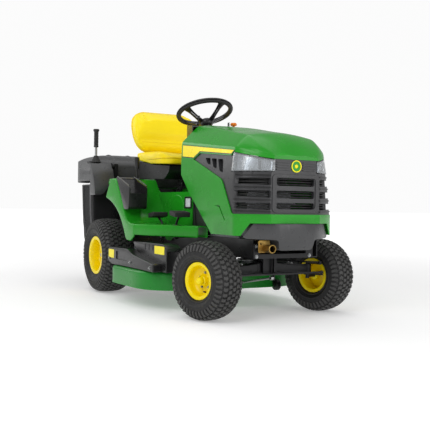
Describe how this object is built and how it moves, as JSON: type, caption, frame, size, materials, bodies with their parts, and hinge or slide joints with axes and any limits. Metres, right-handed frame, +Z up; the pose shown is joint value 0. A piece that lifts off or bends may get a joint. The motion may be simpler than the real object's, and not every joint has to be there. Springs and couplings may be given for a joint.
{
  "type": "riding lawn mower",
  "caption": "Ride-on garden mower with front engine under a hinged hood, mid-mounted cutting deck, padded seat and a tipping rear grass catcher.",
  "frame": {"origin": "centre of the footprint, on the ground under the middle of the overall length", "axes": "+X forward, +Y to the mower's left, +Z up"},
  "size_m": [2.324, 1, 1.1576],
  "materials": {
    "green_body": "glossy moulded or painted green",
    "deck_paint": "gloss green paint on pressed steel",
    "black_plastic": "satin moulded black",
    "grey_plastic": "fine-grained dark grey moulding",
    "black_steel": "semi-gloss black paint",
    "zinc": "zinc plated",
    "cast_metal": "bare cast grey",
    "exhaust_pipe": "heat-tinted brassy pipe",
    "wheel_yellow": "gloss yellow paint",
    "tyre": "matt rubber with turf tread",
    "seat_vinyl": "soft yellow vinyl",
    "bag_fabric": "coarse black mesh fabric",
    "lamp_lens": "clear lens over a bright reflector",
    "tank_plastic": "milky translucent",
    "orange_plastic": "glossy orange"
  },
  "bodies": {
    "chassis": {"frame": "black_steel", "hitch_plate": "black_steel", "fender_body": "green_body", "storage_console": "black_plastic", "front_bumper": "grey_plastic", "front_bracket": "black_steel", "dash_console": "black_plastic", "engine_block": "cast_metal", "engine_shroud": "black_plastic", "muffler": "cast_metal", "exhaust_elbow": "exhaust_pipe", "battery": "black_plastic", "fuel_tank": "tank_plastic", "transaxle": "cast_metal", "discharge_chute": "black_plastic"},
    "hood": {"hood_shell": "green_body", "grille": "black_plastic", "headlight_right": "lamp_lens", "headlight_left": "lamp_lens"},
    "front_axle": {"front_axle_beam": "black_steel"},
    "knuckle_right": {"spindle_right": "black_steel"},
    "knuckle_left": {"spindle_left": "black_steel"},
    "tie_rod": {"tie_rod": "zinc"},
    "drag_link": {"drag_link": "zinc"},
    "wheel_front_right": {"front_right_tyre": "tyre", "front_right_rim": "wheel_yellow"},
    "wheel_front_left": {"front_left_tyre": "tyre", "front_left_rim": "wheel_yellow"},
    "wheel_rear_right": {"rear_right_tyre": "tyre", "rear_right_rim": "wheel_yellow", "axle_shaft_right": "zinc"},
    "wheel_rear_left": {"rear_left_tyre": "tyre", "rear_left_rim": "wheel_yellow", "axle_shaft_left": "zinc"},
    "steering": {"steering_wheel": "black_plastic", "steering_shaft": "black_steel"},
    "pinion": {"steering_pinion": "cast_metal"},
    "sector": {"sector_gear": "cast_metal"},
    "forward_pedal": {"forward_pedal": "black_plastic"},
    "reverse_pedal": {"reverse_pedal": "black_plastic"},
    "brake_pedal": {"brake_pedal": "black_plastic"},
    "lift_lever": {"lift_lever": "black_plastic"},
    "lift_arm": {"lift_arm": "black_steel"},
    "draft_link": {"front_draft_link": "zinc"},
    "deck": {"deck_shell": "deck_paint", "belt_cover_right": "black_plastic", "belt_cover_left": "black_plastic"},
    "blade_right": {"blade_spindle_right": "cast_metal"},
    "blade_left": {"blade_spindle_left": "cast_metal"},
    "seat_base": {"seat_bracket": "black_steel"},
    "seat": {"seat_pan": "black_plastic", "seat_cushion": "seat_vinyl", "seat_backrest": "seat_vinyl"},
    "catcher": {"catcher_lid": "grey_plastic", "catcher_bag": "bag_fabric"},
    "dump_handle": {"dump_handle": "black_plastic"},
    "throttle": {"throttle_lever": "black_plastic"},
    "blade_knob": {"blade_knob": "orange_plastic"},
    "key": {"ignition_key": "zinc"},
    "fuel_cap": {"fuel_cap": "black_plastic"}
  },
  "joints": [
    {"name": "hood_hinge", "type": "hinge", "parent": "chassis", "child": "hood", "pos_m": [1.151, 0, 0.468], "axis": [0, 1, 0], "range_deg": [0, 65]},
    {"name": "axle_pivot", "type": "hinge", "parent": "chassis", "child": "front_axle", "pos_m": [0.893, 0, 0.24], "axis": [1, 0, 0], "range_deg": [-4, 4]},
    {"name": "steering_turn", "type": "hinge", "parent": "chassis", "child": "steering", "pos_m": [0.223, 0, 1.092], "axis": [-0.342, 0, 0.9397], "range_deg": [-285, 99]},
    {"name": "pinion_turn", "type": "hinge", "parent": "chassis", "child": "pinion", "pos_m": [0.468, 0, 0.3], "axis": [0, 0, 1], "range_deg": [-286, 100]},
    {"name": "sector_turn", "type": "hinge", "parent": "chassis", "child": "sector", "pos_m": [0.548, 0, 0.278], "axis": [0, 0, 1], "range_deg": [-48, 17]},
    {"name": "kingpin_right", "type": "hinge", "parent": "front_axle", "child": "knuckle_right", "pos_m": [0.893, -0.262, 0.22], "axis": [0, 0, 1], "range_deg": [-48, 17]},
    {"name": "kingpin_left", "type": "hinge", "parent": "front_axle", "child": "knuckle_left", "pos_m": [0.893, 0.262, 0.22], "axis": [0, 0, 1], "range_deg": [-48, 17]},
    {"name": "tie_rod_eye", "type": "hinge", "parent": "knuckle_right", "child": "tie_rod", "pos_m": [0.97973, -0.23795, 0.214], "axis": [0, 0, 1], "range_deg": [-17, 48]},
    {"name": "drag_link_eye", "type": "hinge", "parent": "knuckle_left", "child": "drag_link", "pos_m": [0.97009, 0.28338, 0.2645], "axis": [0, 0, 1], "range_deg": [-17, 48]},
    {"name": "wheel_spin_front_right", "type": "hinge", "parent": "knuckle_right", "child": "wheel_front_right", "pos_m": [0.91812, -0.35258, 0.1905], "axis": [-0.2672, 0.9636, 0], "continuous": true},
    {"name": "wheel_spin_front_left", "type": "hinge", "parent": "knuckle_left", "child": "wheel_front_left", "pos_m": [0.86788, 0.35258, 0.1905], "axis": [-0.2672, 0.9636, 0], "continuous": true},
    {"name": "wheel_spin_rear_right", "type": "hinge", "parent": "chassis", "child": "wheel_rear_right", "pos_m": [-0.352, -0.368, 0.2286], "axis": [0, 1, 0], "continuous": true},
    {"name": "wheel_spin_rear_left", "type": "hinge", "parent": "chassis", "child": "wheel_rear_left", "pos_m": [-0.352, 0.368, 0.2286], "axis": [0, 1, 0], "continuous": true},
    {"name": "forward_press", "type": "hinge", "parent": "chassis", "child": "forward_pedal", "pos_m": [0.477, -0.3, 0.38], "axis": [0, 1, 0], "range_deg": [0, 14]},
    {"name": "reverse_press", "type": "hinge", "parent": "chassis", "child": "reverse_pedal", "pos_m": [0.303, -0.3, 0.38], "axis": [0, 1, 0], "range_deg": [-12, 0]},
    {"name": "brake_press", "type": "hinge", "parent": "chassis", "child": "brake_pedal", "pos_m": [0.477, 0.3, 0.38], "axis": [0, 1, 0], "range_deg": [0, 14]},
    {"name": "deck_lever", "type": "hinge", "parent": "chassis", "child": "lift_lever", "pos_m": [-0.082, -0.285, 0.56], "axis": [0, 1, 0], "range_deg": [0, 20]},
    {"name": "lift_shaft", "type": "hinge", "parent": "chassis", "child": "lift_arm", "pos_m": [0.40844, 0, 0.26409], "axis": [0, 1, 0], "range_deg": [-15, 0.5]},
    {"name": "draft_pivot", "type": "hinge", "parent": "chassis", "child": "draft_link", "pos_m": [0.94844, 0, 0.19209], "axis": [0, 1, 0], "range_deg": [-15, 0.5]},
    {"name": "deck_pivot", "type": "hinge", "parent": "lift_arm", "child": "deck", "pos_m": [0.113, 0, 0.212], "axis": [0, 1, 0], "range_deg": [-0.5, 15]},
    {"name": "blade_spin_right", "type": "hinge", "parent": "deck", "child": "blade_right", "pos_m": [0.315, -0.235, 0.123], "axis": [0, 0, 1], "continuous": true},
    {"name": "blade_spin_left", "type": "hinge", "parent": "deck", "child": "blade_left", "pos_m": [0.315, 0.235, 0.123], "axis": [0, 0, 1], "continuous": true},
    {"name": "seat_tilt", "type": "hinge", "parent": "chassis", "child": "seat_base", "pos_m": [0.118, 0, 0.645], "axis": [0, 1, 0], "range_deg": [0, 35]},
    {"name": "seat_slide", "type": "slide", "parent": "seat_base", "child": "seat", "axis": [1, 0, 0], "range_m": [-0.05, 0.04]},
    {"name": "catcher_dump", "type": "hinge", "parent": "chassis", "child": "catcher", "pos_m": [-0.592, 0, 0.8], "axis": [0, 1, 0], "range_deg": [0, 75]},
    {"name": "handle_pull", "type": "slide", "parent": "catcher", "child": "dump_handle", "axis": [0, 0, 1], "range_m": [0, 0.3]},
    {"name": "throttle_tilt", "type": "hinge", "parent": "chassis", "child": "throttle", "pos_m": [0.348, -0.11, 1.005], "axis": [0, 1, 0], "range_deg": [-25, 25]},
    {"name": "blade_switch", "type": "slide", "parent": "chassis", "child": "blade_knob", "axis": [0, 0, 1], "range_m": [0, 0.02]},
    {"name": "key_turn", "type": "hinge", "parent": "chassis", "child": "key", "pos_m": [0.383, 0.07, 1], "axis": [0, 0, 1], "range_deg": [0, 75]},
    {"name": "cap_turn", "type": "hinge", "parent": "chassis", "child": "fuel_cap", "pos_m": [0.208, 0.06, 0.63], "axis": [0, 0, 1], "range_deg": [0, 120]}
  ],
  "couplings": [
    {"joint": "pinion_turn", "follows": "steering_turn", "ratio": 1},
    {"joint": "sector_turn", "follows": "steering_turn", "ratio": 0.16667},
    {"joint": "kingpin_right", "follows": "steering_turn", "ratio": 0.16667},
    {"joint": "kingpin_left", "follows": "steering_turn", "ratio": 0.16667},
    {"joint": "tie_rod_eye", "follows": "steering_turn", "ratio": -0.16667},
    {"joint": "drag_link_eye", "follows": "steering_turn", "ratio": -0.16667},
    {"joint": "lift_shaft", "follows": "deck_lever", "ratio": -0.7425},
    {"joint": "draft_pivot", "follows": "deck_lever", "ratio": -0.7425},
    {"joint": "deck_pivot", "follows": "deck_lever", "ratio": 0.7425},
    {"joint": "blade_spin_left", "follows": "blade_spin_right", "ratio": -1}
  ]
}
